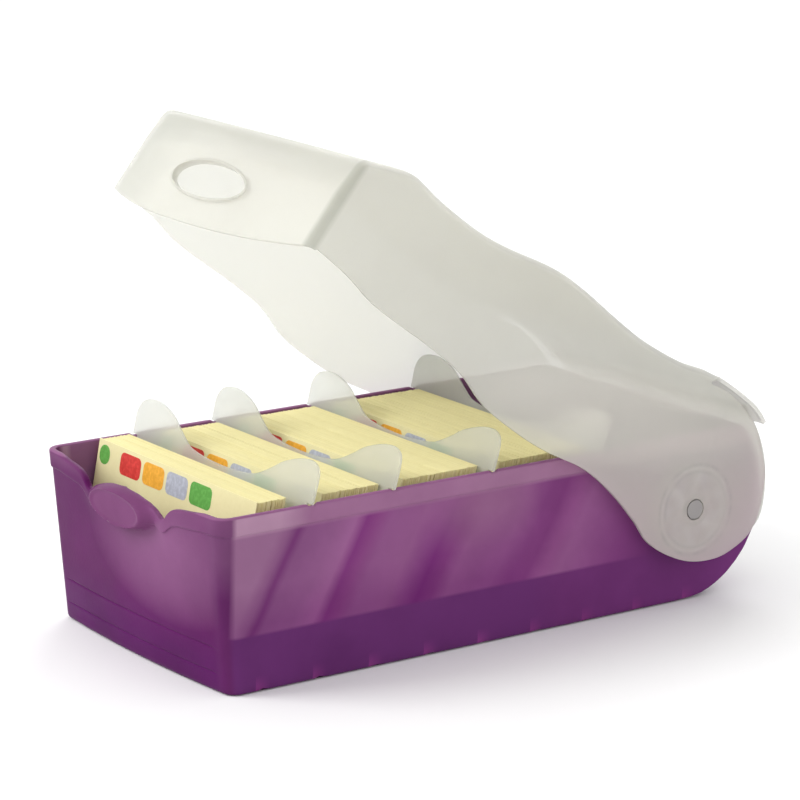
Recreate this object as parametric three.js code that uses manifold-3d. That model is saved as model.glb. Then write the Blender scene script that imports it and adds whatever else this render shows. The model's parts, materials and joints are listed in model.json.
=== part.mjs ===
// Desktop card file: an open tray with four dividers and four stacks of index cards,
// under a wavy-edged lid that turns on two hub discs at the rear of the tray.
// Millimetres, +Z up, front of the tray towards -Y, width along X.
import * as THREE from "three";
import { mergeVertices } from "three/addons/utils/BufferGeometryUtils.js";
import Module from "manifold-3d";

const wasm = await Module();
wasm.setup();

// Driving dimensions.
const FRAME_SHIFT_Y = -17.36;
const RIM_Z = 63.5;
const HALF_WIDTH_RIM = 59;
const HALF_WIDTH_FOOT = 57;
const WALL = 1.8;
const FRONT_TOP_Y = -98.5;
const FRONT_FOOT_Y = -94;
const FRONT_BOW = 2.5;
const CORNER_RADIUS = 5;
const HUB_Y = 101;
const HUB_Z = 36.5;
const REAR_RADIUS = 36.5;
const FLOOR_LOW = 2.6;
const FLOOR_HIGH = 3.8;
const TOOTH_PITCH = 23.2;
const FIRST_TOOTH_Y = -81.3;
const TOOTH_COUNT = 8;
const BAND_HEIGHT = 6.7;
const BAND_PROUD = 0.6;
const BOSS_Z = 55.2;
const BOSS_HALF_WIDTH = 20.5;
const BOSS_HALF_HEIGHT = 7.2;
const BOSS_FRONT_Y = -105.5;
const LID_HALF_WIDTH = 64.5;
const LID_WALL = 1.5;
const LID_BULGE = 7.8;
const LID_APRON = 7.5;
const HOLE_HALF_WIDTH = 22.5;
const HOLE_HALF_HEIGHT = 6.8;
const HOLE_RISE = 9.6;
const STUD_RADIUS = 3.5;
const STUD_HOLE_RADIUS = 4;
const PLATE_LEAN = 15;
const FIRST_LEAN = 11;
const PLATE_THICK = 1;
const FOOT_Z = 4.15;
const CARD_WIDTH = 105;
const CARD_HEIGHT = 62;
const CARD_SHIFT_X = -1.2;
const CARD_GAP = 0.35;
const INDEX_THICK = 0.5;

const PURPLE = new THREE.MeshStandardMaterial({ color: 0x6d3570, roughness: 0.38, metalness: 0 });
const FROSTED = new THREE.MeshStandardMaterial({ color: 0xdcdcd2, roughness: 0.45, metalness: 0 });
const CLEAR = new THREE.MeshStandardMaterial({ color: 0xe0e5df, roughness: 0.3, metalness: 0 });
const HUB = new THREE.MeshStandardMaterial({ color: 0xb9aab4, roughness: 0.4, metalness: 0 });
const CARD = new THREE.MeshStandardMaterial({ color: 0xf0e8b4, roughness: 0.85, metalness: 0 });
const INDEX = new THREE.MeshStandardMaterial({ color: 0xf3ecba, roughness: 0.8, metalness: 0 });

// A closed three.js geometry as a manifold solid.
function solid(geometry) {
  const plain = geometry.index ? geometry.toNonIndexed() : geometry.clone();
  plain.deleteAttribute("normal");
  plain.deleteAttribute("uv");
  const merged = mergeVertices(plain, 1e-4);
  const data = {
    numProp: 3,
    vertProperties: merged.attributes.position.array,
    triVerts: new Uint32Array(merged.index.array),
  };
  return new wasm.Manifold(new wasm.Mesh(data));
}

// A manifold solid as a three.js geometry.
function geometryOf(body) {
  const mesh = body.getMesh();
  const geometry = new THREE.BufferGeometry();
  geometry.setAttribute("position", new THREE.BufferAttribute(mesh.vertProperties, 3));
  geometry.setIndex(new THREE.BufferAttribute(mesh.triVerts, 1));
  geometry.computeVertexNormals();
  return geometry;
}

function shapeOf(points) {
  return new THREE.Shape(points.map(([u, v]) => new THREE.Vector2(u, v)));
}

// A (y, z) outline drawn out along X between x0 and x1.
function alongX(points, x0, x1, steps = 1) {
  const options = { depth: x1 - x0, bevelEnabled: false, steps };
  const geometry = new THREE.ExtrudeGeometry(shapeOf(points), options);
  const turn = new THREE.Matrix4().makeBasis(
    new THREE.Vector3(0, 1, 0),
    new THREE.Vector3(0, 0, 1),
    new THREE.Vector3(1, 0, 0),
  );
  return geometry.applyMatrix4(turn).translate(x0, 0, 0);
}

// An (x, z) outline drawn out along Y between y0 and y1.
function alongY(points, y0, y1) {
  const options = { depth: y1 - y0, bevelEnabled: false };
  const geometry = new THREE.ExtrudeGeometry(shapeOf(points), options);
  return geometry.rotateX(Math.PI / 2).translate(0, y1, 0);
}

function box(x0, x1, y0, y1, z0, z1) {
  const geometry = new THREE.BoxGeometry(x1 - x0, y1 - y0, z1 - z0);
  return geometry.translate((x0 + x1) / 2, (y0 + y1) / 2, (z0 + z1) / 2);
}

function warp(geometry, move) {
  const position = geometry.attributes.position;
  const point = new THREE.Vector3();
  for (let i = 0; i < position.count; i += 1) {
    point.fromBufferAttribute(position, i);
    move(point);
    position.setXYZ(i, point.x, point.y, point.z);
  }
  return geometry;
}

function ellipse(cu, cv, ru, rv, count = 28) {
  return Array.from({ length: count }, (_, i) => {
    const a = (2 * Math.PI * (i + 0.11)) / count;
    return [cu + ru * Math.cos(a), cv + rv * Math.sin(a)];
  });
}

function hubArc(radius, fromDeg, toDeg, count) {
  return Array.from({ length: count + 1 }, (_, i) => {
    const a = THREE.MathUtils.degToRad(fromDeg + ((toDeg - fromDeg) * i) / count);
    return [HUB_Y + radius * Math.cos(a), HUB_Z + radius * Math.sin(a)];
  });
}

function angleAtHeight(radius, z) {
  return THREE.MathUtils.radToDeg(Math.asin((z - HUB_Z) / radius));
}

// Tray: draft on the sides, a bowed front wall and rounded front corners.
function trayWarp(half, radius) {
  return (p) => {
    const share = Math.sin((p.x / half) * (Math.PI / 2));
    const run = Math.abs(share) * half;
    const foot = half - HALF_WIDTH_RIM + HALF_WIDTH_FOOT;
    const width = foot + ((half - foot) * p.z) / RIM_Z;
    const into = Math.max(0, run - (half - radius));
    const round = radius - Math.sqrt(Math.max(0, radius * radius - into * into));
    const weight = THREE.MathUtils.clamp((-p.y - 70) / 20, 0, 1);
    p.x = share * width;
    p.y += weight * (round - FRONT_BOW * (1 - share * share));
  };
}

function trayOutline() {
  const high = RIM_Z - BAND_HEIGHT / 2;
  const slope = (FRONT_TOP_Y - FRONT_FOOT_Y) / RIM_Z;
  return [
    [FRONT_FOOT_Y + 1.6, 0],
    ...hubArc(REAR_RADIUS, -90, angleAtHeight(REAR_RADIUS, high), 14),
    [FRONT_FOOT_Y + slope * high, high],
    [FRONT_FOOT_Y - 0.2, 2.4],
  ];
}

function bandOutline() {
  const low = RIM_Z - BAND_HEIGHT;
  const radius = REAR_RADIUS + BAND_PROUD;
  return [
    [FRONT_TOP_Y, low],
    ...hubArc(radius, angleAtHeight(radius, low), angleAtHeight(radius, RIM_Z), 3),
    [FRONT_TOP_Y - BAND_PROUD, RIM_Z],
    [FRONT_TOP_Y - BAND_PROUD, low + 0.6],
  ];
}

function toothedFloor() {
  const points = [[FRONT_FOOT_Y + WALL, FLOOR_LOW + 0.6]];
  for (let i = 0; i < TOOTH_COUNT; i += 1) {
    const y = FIRST_TOOTH_Y + i * TOOTH_PITCH;
    points.push([y, FLOOR_HIGH], [y + 0.4, FLOOR_LOW]);
  }
  return points;
}

function cavityOutline() {
  const radius = REAR_RADIUS - WALL;
  const top = angleAtHeight(radius, RIM_Z);
  const slope = (FRONT_TOP_Y - FRONT_FOOT_Y) / RIM_Z;
  const rear = hubArc(radius, angleAtHeight(radius, FLOOR_HIGH), top, 12);
  return [
    ...toothedFloor(),
    ...rear,
    [rear.at(-1)[0], RIM_Z + 8],
    [FRONT_FOOT_Y + WALL + slope * (RIM_Z + 8), RIM_Z + 8],
  ];
}

// The front wall's top edge: two dips and the arch of the thumb boss between them.
function frontEdgeCut() {
  const half = [[0, 62.3], [9, 61.4], [17.5, 59.5], [22.5, 57.4], [24.5, 56.2], [26.3, 57.4]];
  half.push([28.5, 59.6], [31, 61], [34.5, 61.9], [41, 62.6], [48, RIM_Z + 0.2]);
  const left = half.slice(1).reverse().map(([x, z]) => [-x, z]);
  const edge = [...left, ...half];
  return alongY([...edge, [48, RIM_Z + 20], [-48, RIM_Z + 20]], -125, -88);
}

function bossParts() {
  const outer = ellipse(0, BOSS_Z, BOSS_HALF_WIDTH, BOSS_HALF_HEIGHT);
  const inner = ellipse(0, BOSS_Z, BOSS_HALF_WIDTH - 1.6, BOSS_HALF_HEIGHT - 1.6);
  const skin = solid(alongY(outer, BOSS_FRONT_Y, -98.6));
  const hollow = solid(alongY(inner, BOSS_FRONT_Y + 1.6, -92));
  return [skin, hollow];
}

const PLATE_RIM_Y = { a: -62.3, b: -28.6, c: 13.5, d: 61 };

function rimSlots() {
  return Object.values(PLATE_RIM_Y).flatMap((y) => {
    const slot = [y - 0.6, y + 2, RIM_Z - 0.8, RIM_Z + 5];
    return [solid(box(-70, -56, ...slot)), solid(box(56, 70, ...slot))];
  });
}

// Small nicks where each tooth of the floor reaches the foot of the side walls.
function footNicks() {
  return Array.from({ length: TOOTH_COUNT }, (_, i) => {
    const y = FIRST_TOOTH_Y + i * TOOTH_PITCH;
    const nick = [[y - 1.6, -0.5], [y + 3.4, -0.5], [y, 1.2]];
    return [solid(alongX(nick, 50, 70)), solid(alongX(nick, -70, -50))];
  }).flat();
}

function baseTray() {
  const steps = 15;
  const inside = HALF_WIDTH_RIM - WALL;
  const wide = HALF_WIDTH_RIM + BAND_PROUD;
  const outer = alongX(trayOutline(), -HALF_WIDTH_RIM, HALF_WIDTH_RIM, steps);
  const band = alongX(bandOutline(), -wide, wide, steps);
  const cavity = alongX(cavityOutline(), -inside, inside, steps);
  let tray = solid(warp(outer, trayWarp(HALF_WIDTH_RIM, CORNER_RADIUS)));
  tray = tray.add(solid(warp(band, trayWarp(wide, CORNER_RADIUS))));
  const [skin, hollow] = bossParts();
  tray = tray.add(skin);
  tray = tray.subtract(solid(warp(cavity, trayWarp(inside, CORNER_RADIUS - WALL))));
  tray = tray.subtract(hollow).subtract(solid(frontEdgeCut()));
  for (const cut of [...rimSlots(), ...footNicks()]) {
    tray = tray.subtract(cut);
  }
  return geometryOf(tray);
}

// Lid, drawn as it stands open.
const LID_FRONT_FOOT = new THREE.Vector2(-65.6, 153.9);
const LID_FRONT_TOP = new THREE.Vector2(-44.3, 180.1);
const ROOF_PATH = [
  [-38.2, 178.4], [-30, 175.9], [-21.5, 172], [-11.2, 162.5], [3.9, 150.8], [17, 143.1],
  [36.9, 133.5], [50.4, 124.2], [65.3, 111.7], [78.3, 101.7], [94.9, 92], [106.9, 87.1],
  [119, 79.3], [129, 71.2], [133.7, 64.7],
];
const LOWER_EDGE = [
  [133.9, 44.2], [131.8, 32.4], [126.8, 23.3], [117.1, 17.9], [108.6, 16.3], [98.2, 17.4],
  [87.9, 21.6], [78.9, 28], [73.3, 36], [63, 48.1], [50.2, 59.3], [34.1, 67.9], [21.3, 76.3],
  [5.9, 88.9], [-4.2, 102], [-18.5, 114.1], [-28.8, 121.7], [-40.7, 131.1], [-50.4, 141.5],
];
const REAR_EDGE = [
  [114.8, 80.5], [121, 74.5], [125.3, 69.2], [129, 63.2], [131.1, 58], [133, 50.1],
];
const SKIRT_PATH = [[42.7, 41], [41.4, 28], [40.1, 12], [39.1, -5], [38.6, -22]];

// The path's points moved to its right-hand side by the given distance.
function beside(points, distance) {
  return points.map(([u, v], i) => {
    const [pu, pv] = points[Math.max(0, i - 1)];
    const [nu, nv] = points[Math.min(points.length - 1, i + 1)];
    const length = Math.hypot(nu - pu, nv - pv);
    return [u + ((nv - pv) / length) * distance, v - ((nu - pu) / length) * distance];
  });
}

function ribbon(points, thick) {
  return [...points, ...beside(points, thick).reverse()].reverse();
}

const FRONT_RISE = LID_FRONT_TOP.clone().sub(LID_FRONT_FOOT).normalize();
const FRONT_OUT = new THREE.Vector2(-FRONT_RISE.y, FRONT_RISE.x);

function frontPoint(rise, out) {
  const point = LID_FRONT_FOOT.clone().addScaledVector(FRONT_RISE, rise);
  return point.addScaledVector(FRONT_OUT, out).toArray();
}

// The front wall bulges forward, most of all at its foot, which also hangs lower there.
function lidWarp(p) {
  const share = THREE.MathUtils.clamp(p.x / LID_HALF_WIDTH, -1, 1);
  const x = Math.sin((share * Math.PI) / 2) * LID_HALF_WIDTH;
  const along = new THREE.Vector2(p.y, p.z).sub(LID_FRONT_FOOT);
  const rise = along.dot(FRONT_RISE);
  const depth = -along.dot(FRONT_OUT);
  const middle = 1 - Math.pow(Math.abs(x) / LID_HALF_WIDTH, 2.5);
  const near = THREE.MathUtils.clamp(1 - depth / 9, 0, 1);
  const fall = THREE.MathUtils.clamp(1 - (rise - 20) / 13, 0.14, 1);
  const out = LID_BULGE * middle * near * fall;
  const drop = LID_APRON * middle * near * THREE.MathUtils.clamp(1 - rise / 4, 0, 1);
  p.x = x;
  p.y += out * FRONT_OUT.x - drop * FRONT_RISE.x;
  p.z += out * FRONT_OUT.y - drop * FRONT_RISE.y;
}

function lidStrip() {
  const rise = LID_FRONT_TOP.distanceTo(LID_FRONT_FOOT);
  const front = [0, 5, 12, 20, 27].map((r) => frontPoint(r, 0));
  const path = [...front, frontPoint(rise, 0), ...ROOF_PATH];
  return warp(alongX(ribbon(path, LID_WALL), -LID_HALF_WIDTH, LID_HALF_WIDTH, 15), lidWarp);
}

function lidSkirt() {
  const arc = SKIRT_PATH.map(([radius, angle]) => hubArc(radius, angle, angle, 1)[0]);
  const path = [ROOF_PATH.at(-2), ...arc];
  return alongX(ribbon(path, LID_WALL), -57.5, 57.5);
}

function lidPanel(side) {
  const roof = beside([LID_FRONT_TOP.toArray(), ...ROOF_PATH.slice(0, 12)], LID_WALL / 2).slice(1);
  const front = [frontPoint(0, -0.7), frontPoint(31.4, -0.7)];
  const outline = [...front, ...roof, ...REAR_EDGE, ...LOWER_EDGE];
  const outer = LID_HALF_WIDTH - 0.15;
  const inner = LID_HALF_WIDTH - LID_WALL;
  const [x0, x1] = side > 0 ? [inner, outer] : [-outer, -inner];
  return alongX(outline.reverse(), x0, x1);
}

// A prism through the front wall, from one distance out of its flat plane to another.
function throughFront(points, out0, out1) {
  const options = { depth: out1 - out0, bevelEnabled: false };
  const geometry = new THREE.ExtrudeGeometry(shapeOf(points), options);
  const [y, z] = frontPoint(0, out0);
  const place = new THREE.Matrix4().makeBasis(
    new THREE.Vector3(1, 0, 0),
    new THREE.Vector3(0, FRONT_RISE.x, FRONT_RISE.y),
    new THREE.Vector3(0, FRONT_OUT.x, FRONT_OUT.y),
  );
  return geometry.applyMatrix4(place.setPosition(0, y, z));
}

function studHole(side) {
  const hole = ellipse(HUB_Y, HUB_Z, STUD_HOLE_RADIUS, STUD_HOLE_RADIUS, 24);
  const [x0, x1] = side > 0 ? [60, 70] : [-70, -60];
  return solid(alongX(hole, x0, x1));
}

function holeRing(grow) {
  return ellipse(0, HOLE_RISE, HOLE_HALF_WIDTH + grow, HOLE_HALF_HEIGHT + grow, 36);
}

function lidShell() {
  const cut = solid(throughFront(holeRing(0.8), -20, 20));
  const opening = solid(throughFront(holeRing(0), -20, 20));
  const collar = solid(throughFront(holeRing(1.7), LID_BULGE - 2.7, LID_BULGE + 0.2));
  let lid = solid(lidStrip()).subtract(cut).add(collar.subtract(opening));
  lid = lid.add(solid(lidSkirt()));
  lid = lid.add(solid(lidPanel(1))).add(solid(lidPanel(-1)));
  return geometryOf(lid.subtract(studHole(1)).subtract(studHole(-1)));
}

// Hub disc: a rim, a core, six spokes and the stud that the lid turns on.
function hubDisc(side) {
  const [x0, x1] = side > 0 ? [59.2, 62.7] : [-62.7, -59.2];
  const ring = ellipse(HUB_Y, HUB_Z, 16.5, 16.5, 36);
  const gap = ellipse(HUB_Y, HUB_Z, 14.3, 14.3, 36);
  const core = ellipse(HUB_Y, HUB_Z, 6.2, 6.2, 24);
  const stud = ellipse(HUB_Y, HUB_Z, STUD_RADIUS, STUD_RADIUS, 24);
  const rim = solid(alongX(ring, x0, x1)).subtract(solid(alongX(gap, x0 - 1, x1 + 1)));
  let disc = rim.add(solid(alongX(core, x0, x1)));
  for (let i = 0; i < 3; i += 1) {
    const spoke = box(x0, x1, -15, 15, -0.9, 0.9).rotateX((i * Math.PI) / 3 + 0.3);
    disc = disc.add(solid(spoke.translate(0, HUB_Y, HUB_Z)));
  }
  const [s0, s1] = side > 0 ? [x0, 64.3] : [-64.3, x1];
  return geometryOf(disc.add(solid(alongX(stud, s0, s1))));
}

// Divider plate: two ears over a low middle, shoulders that sit in the rim slots.
const EAR_RIGHT = [
  [59.3, 61.05], [59.4, 70], [58.6, 73.4], [56, 75.1], [52, 75.5], [45.8, 74.5], [37.5, 71.7],
  [31.5, 68.2], [25, 65], [20, 63.5], [10, 62.5], [0, 62.2],
];
const EAR_LEFT = [
  [-10, 62.6], [-20, 63.9], [-25, 66.2], [-31, 69.9], [-35, 72.4], [-40, 74.3], [-45, 75.4],
  [-50, 75.5], [-55, 74.5], [-57.7, 72.6], [-59.3, 69], [-59.3, 61.05],
];

function dividerPlate() {
  const below = [[-56.2, 61.05], [-54.3, 0], [54.3, 0], [56.2, 61.05]];
  const outline = shapeOf([...below, ...EAR_RIGHT, ...EAR_LEFT]);
  const options = { depth: PLATE_THICK, bevelEnabled: false };
  const plate = new THREE.ExtrudeGeometry(outline, options).rotateX(Math.PI / 2);
  return plate.translate(0, PLATE_THICK, 0);
}

// Cards stand in a sheared block, so that each sheet's foot rests at the same height.
function cardBlock(thick, lean) {
  const a = THREE.MathUtils.degToRad(lean);
  const back = CARD_HEIGHT * Math.sin(a);
  const up = CARD_HEIGHT * Math.cos(a);
  const outline = [[0, 0], [thick, 0], [thick + back, up], [back, up]];
  return alongX(outline, -CARD_WIDTH / 2, CARD_WIDTH / 2);
}

const root = new THREE.Group();
root.position.y = FRAME_SHIFT_Y;

function place(name, geometry, material, x = 0, y = 0, z = 0) {
  const mesh = new THREE.Mesh(geometry, material.clone());
  mesh.name = name;
  mesh.position.set(x, y, z);
  root.add(mesh);
  return mesh;
}

const STACKS = [
  { id: 1, lean: FIRST_LEAN, front: -91.1, rear: -78.8, packets: 2 },
  { id: 2, lean: PLATE_LEAN, front: -69, rear: -45.1, packets: 3 },
  { id: 3, lean: PLATE_LEAN, front: -35.7, rear: -3, packets: 4 },
  { id: 4, lean: PLATE_LEAN, front: 6, rear: 44.5, packets: 4 },
];

function placeStack({ id, lean, front, rear, packets }) {
  place(`index_card_${id}`, cardBlock(INDEX_THICK, lean), INDEX, CARD_SHIFT_X, front, FOOT_Z);
  const start = front + INDEX_THICK + CARD_GAP;
  const pitch = (rear - start + CARD_GAP) / packets;
  for (let i = 0; i < packets; i += 1) {
    const name = `cards_${id}${"abcd"[i]}`;
    const block = cardBlock(pitch - CARD_GAP, lean);
    place(name, block, CARD, CARD_SHIFT_X, start + i * pitch, FOOT_Z);
  }
}

place("base_tray", baseTray(), PURPLE);
place("lid_shell", lidShell(), FROSTED);
place("hub_disc_right", hubDisc(1), HUB);
place("hub_disc_left", hubDisc(-1), HUB);
for (const [id, rimY] of Object.entries(PLATE_RIM_Y)) {
  const lean = THREE.MathUtils.degToRad(PLATE_LEAN);
  const footY = rimY - (RIM_Z - FOOT_Z) * Math.tan(lean);
  const plate = place(`divider_${id}`, dividerPlate(), CLEAR, 0, footY, FOOT_Z + 0.05);
  plate.rotation.x = -lean;
}
STACKS.forEach(placeStack);

export default root;
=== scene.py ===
import json
import math
import random

import bmesh
import bpy
from mathutils import Matrix, Vector

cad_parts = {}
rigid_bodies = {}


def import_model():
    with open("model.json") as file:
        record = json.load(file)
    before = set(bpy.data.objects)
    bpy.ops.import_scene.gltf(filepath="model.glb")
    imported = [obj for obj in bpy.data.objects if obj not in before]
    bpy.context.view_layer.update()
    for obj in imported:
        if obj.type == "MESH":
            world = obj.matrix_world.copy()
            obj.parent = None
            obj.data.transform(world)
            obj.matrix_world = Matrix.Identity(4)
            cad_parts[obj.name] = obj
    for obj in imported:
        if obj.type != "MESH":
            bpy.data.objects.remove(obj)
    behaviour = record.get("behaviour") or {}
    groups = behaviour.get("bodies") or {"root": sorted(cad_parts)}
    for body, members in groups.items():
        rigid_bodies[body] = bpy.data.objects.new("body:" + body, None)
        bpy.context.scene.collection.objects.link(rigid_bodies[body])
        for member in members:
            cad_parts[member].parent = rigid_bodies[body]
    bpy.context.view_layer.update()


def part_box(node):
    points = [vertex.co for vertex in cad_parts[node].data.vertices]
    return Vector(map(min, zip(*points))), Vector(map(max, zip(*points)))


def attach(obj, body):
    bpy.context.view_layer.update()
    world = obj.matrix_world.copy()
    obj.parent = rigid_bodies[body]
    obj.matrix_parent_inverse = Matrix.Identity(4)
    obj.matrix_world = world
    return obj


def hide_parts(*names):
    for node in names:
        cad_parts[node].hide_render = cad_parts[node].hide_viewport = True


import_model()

MM = 0.001

# Sizes in millimetres, in the tray's own frame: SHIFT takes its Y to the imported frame.
HUB_LO, HUB_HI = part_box("hub_disc_right")
HUB_Y, HUB_Z = 101.0, (HUB_LO.z + HUB_HI.z) / 2 / MM
SHIFT = (HUB_LO.y + HUB_HI.y) / 2 / MM - HUB_Y
RIM = 63.5                                # height of the tray's rim
REAR_R = 36.5                             # radius of the tray's round rear
WALL = 1.8
TRAY_HALF, TRAY_FLARE = 57, 2             # half width at the foot, and what the rim adds to it
FRONT_Y, FRONT_LEAN, FRONT_BOW = -94, 4.5, 2.5
TOOTH_0, TOOTH, TEETH = -81.3, 23.2, 8    # first step of the toothed floor, pitch and count
NICK, NICK_LONG, NICK_SHORT = 1.2, 3.4, 1.6    # notch at each step: depth and both slopes
SLOT_DEEP, SLOT_BEFORE, SLOT_AFTER = 0.8, 0.9, 2.2
BOSS_Z, BOSS_A, BOSS_B, BOSS_Y = 55.2, 20.5, 7.2, -105.0
FRONT_LINES = (7.0, 16.0)                 # heights of the two fine lines on the front wall
PLATE_RIM = {"a": -62.3, "b": -28.6, "c": 13.5, "d": 61.0}
PLATE_LEAN, FIRST_LEAN = 15, 11           # degrees: dividers and stacks, and the first stack
PLATE_PIVOT, PLATE_FOOT, PLATE_THICK = 4.15, 4.22, 0.96
CARD_HIGH, SHEET_PITCH = 62, 0.32
LID_X, LID_WALL, LID_FILLET = 64.35, 1.4, 3.0
LID_BULGE, LID_DROP, LID_SPAN, LID_POWER = 7.7, 7.5, 64.5, 2.5
# The bulge reaches BULGE_DEEP back into the roof, and fades above BULGE_TOP to BULGE_LEFT of
# itself; the hem's drop is taken up over HEM_HIGH.
BULGE_DEEP, BULGE_TOP, BULGE_FADE, BULGE_LEFT, HEM_HIGH = 9, 19, 13.5, 0.14, 4
FOOT, TOP = Vector((-65.6, 153.9)), Vector((-44.3, 180.1))
RISE = (TOP - FOOT).normalized()
OUT = Vector((-RISE.y, RISE.x))


def at(x, y, z):
    """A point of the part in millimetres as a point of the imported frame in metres."""
    return Vector((x * MM, (y + SHIFT) * MM, z * MM))


def smooth(t):
    t = min(1.0, max(0.0, t))
    return t * t * (3 - 2 * t)


def curve_through(points, per=6):
    """A Catmull-Rom curve through 2-D points."""
    out = []
    for i in range(len(points) - 1):
        p0, p1 = points[max(0, i - 1)], points[i]
        p2, p3 = points[i + 1], points[min(len(points) - 1, i + 2)]
        for k in range(per):
            t = k / per
            out.append(tuple(
                0.5 * (2 * b + (c - a) * t + (2 * a - 5 * b + 4 * c - d) * t * t
                       + (3 * b - a - 3 * c + d) * t ** 3)
                for a, b, c, d in zip(p0, p1, p2, p3)))
    out.append(tuple(points[-1]))
    return out


def make_object(name, mesh, materials, angle=35):
    for material in materials:
        mesh.materials.append(material)
    for polygon in mesh.polygons:
        polygon.use_smooth = True
    mesh.set_sharp_from_angle(angle=math.radians(angle))
    obj = bpy.data.objects.new(name, mesh)
    bpy.context.scene.collection.objects.link(obj)
    return obj


def bm_to_mesh(bm, name):
    mesh = bpy.data.meshes.new(name)
    bm.to_mesh(mesh)
    bm.free()
    return mesh


def apply_modifiers(obj):
    """Replace the object's mesh by the result of its modifiers."""
    graph = bpy.context.evaluated_depsgraph_get()
    mesh = bpy.data.meshes.new_from_object(obj.evaluated_get(graph))
    obj.modifiers.clear()
    obj.data = mesh
    return obj


def grid_faces(bm, rows, closed=False):
    for upper, lower in zip(rows, rows[1:]):
        count = len(upper)
        for i in range(count if closed else count - 1):
            j = (i + 1) % count
            bm.faces.new((upper[i], upper[j], lower[j], lower[i]))


def prism_mesh(low, high, name):
    """A closed solid between two loops of as many points."""
    bm = bmesh.new()
    rows = [[bm.verts.new(p) for p in loop] for loop in (low, high)]
    grid_faces(bm, rows, closed=True)
    bm.faces.new(list(reversed(rows[0])))
    bm.faces.new(rows[1])
    bmesh.ops.recalc_face_normals(bm, faces=bm.faces)
    return bm_to_mesh(bm, name)


# ---------------------------------------------------------------- materials

def nodes_of(name):
    material = bpy.data.materials.new(name)
    material.use_nodes = True
    tree = material.node_tree
    return material, tree, tree.nodes["Principled BSDF"]


def noise(tree, scale, detail=3.0, rough=0.55):
    coords = tree.nodes.new("ShaderNodeTexCoord")
    node = tree.nodes.new("ShaderNodeTexNoise")
    node.inputs["Scale"].default_value = scale
    node.inputs["Detail"].default_value = detail
    node.inputs["Roughness"].default_value = rough
    tree.links.new(coords.outputs["Object"], node.inputs["Vector"])
    return node.outputs["Fac"]


def ramp(tree, value, stops, smooth_ramp=True):
    node = tree.nodes.new("ShaderNodeValToRGB")
    node.color_ramp.interpolation = "EASE" if smooth_ramp else "LINEAR"
    elements = node.color_ramp.elements
    while len(elements) < len(stops):
        elements.new(0.5)
    for element, (stop, colour) in zip(elements, stops):
        element.position = stop
        element.color = (*colour, 1)
    tree.links.new(value, node.inputs["Fac"])
    return node.outputs["Color"]


def maths(tree, kind, a, b=0.0, clamp=False):
    node = tree.nodes.new("ShaderNodeMath")
    node.operation = kind
    node.use_clamp = clamp
    for socket, value in zip(node.inputs, (a, b)):
        if isinstance(value, (int, float)):
            socket.default_value = value
        else:
            tree.links.new(value, socket)
    return node.outputs[0]


def mix_colour(tree, factor, a, b, kind="MIX"):
    node = tree.nodes.new("ShaderNodeMix")
    node.data_type = "RGBA"
    node.blend_type = kind
    sockets = (node.inputs[0], node.inputs[6], node.inputs[7])
    for socket, value in zip(sockets, (factor, a, b)):
        if isinstance(value, (int, float)):
            socket.default_value = value
        elif isinstance(value, tuple):
            socket.default_value = (*value, 1)
        else:
            tree.links.new(value, socket)
    return node.outputs[2]


def position(tree):
    coords = tree.nodes.new("ShaderNodeTexCoord")
    split = tree.nodes.new("ShaderNodeSeparateXYZ")
    tree.links.new(coords.outputs["Object"], split.inputs[0])
    return split.outputs


def bump(tree, shader, height, distance, strength=0.5):
    node = tree.nodes.new("ShaderNodeBump")
    node.inputs["Distance"].default_value = distance
    node.inputs["Strength"].default_value = strength
    tree.links.new(height, node.inputs["Height"])
    tree.links.new(node.outputs["Normal"], shader.inputs["Normal"])


def roughness(tree, shader, low, high, scale):
    value = noise(tree, scale, 4.0)
    span = tree.nodes.new("ShaderNodeMapRange")
    span.inputs["From Min"].default_value = 0.3
    span.inputs["From Max"].default_value = 0.7
    span.inputs["To Min"].default_value = low
    span.inputs["To Max"].default_value = high
    tree.links.new(value, span.inputs["Value"])
    tree.links.new(span.outputs[0], shader.inputs["Roughness"])


def mask(tree, value, start, width):
    """Rises from 0 to 1 as the value passes from start to start + width."""
    return maths(tree, "DIVIDE", maths(tree, "SUBTRACT", value, start), width, True)


def inverse(tree, value):
    return maths(tree, "SUBTRACT", 1.0, value, True)


def product(tree, value, *others):
    for other in others:
        value = maths(tree, "MULTIPLY", value, other)
    return value


def band(tree, value, start, end, width):
    """1 between start and end, with edges of the given width."""
    rising, falling = mask(tree, value, start, width), mask(tree, value, end, width)
    return maths(tree, "SUBTRACT", rising, falling, True)


def squares(tree, a, b):
    return maths(tree, "ADD", product(tree, a, a), product(tree, b, b))


def spot(tree, across, height, centre, spread):
    """A soft patch: 1 at its centre, 0 from its spread outwards."""
    du = maths(tree, "DIVIDE", maths(tree, "SUBTRACT", across, centre[0]), spread[0])
    dv = maths(tree, "DIVIDE", maths(tree, "SUBTRACT", height, centre[1]), spread[1])
    return inverse(tree, squares(tree, du, dv))


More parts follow.
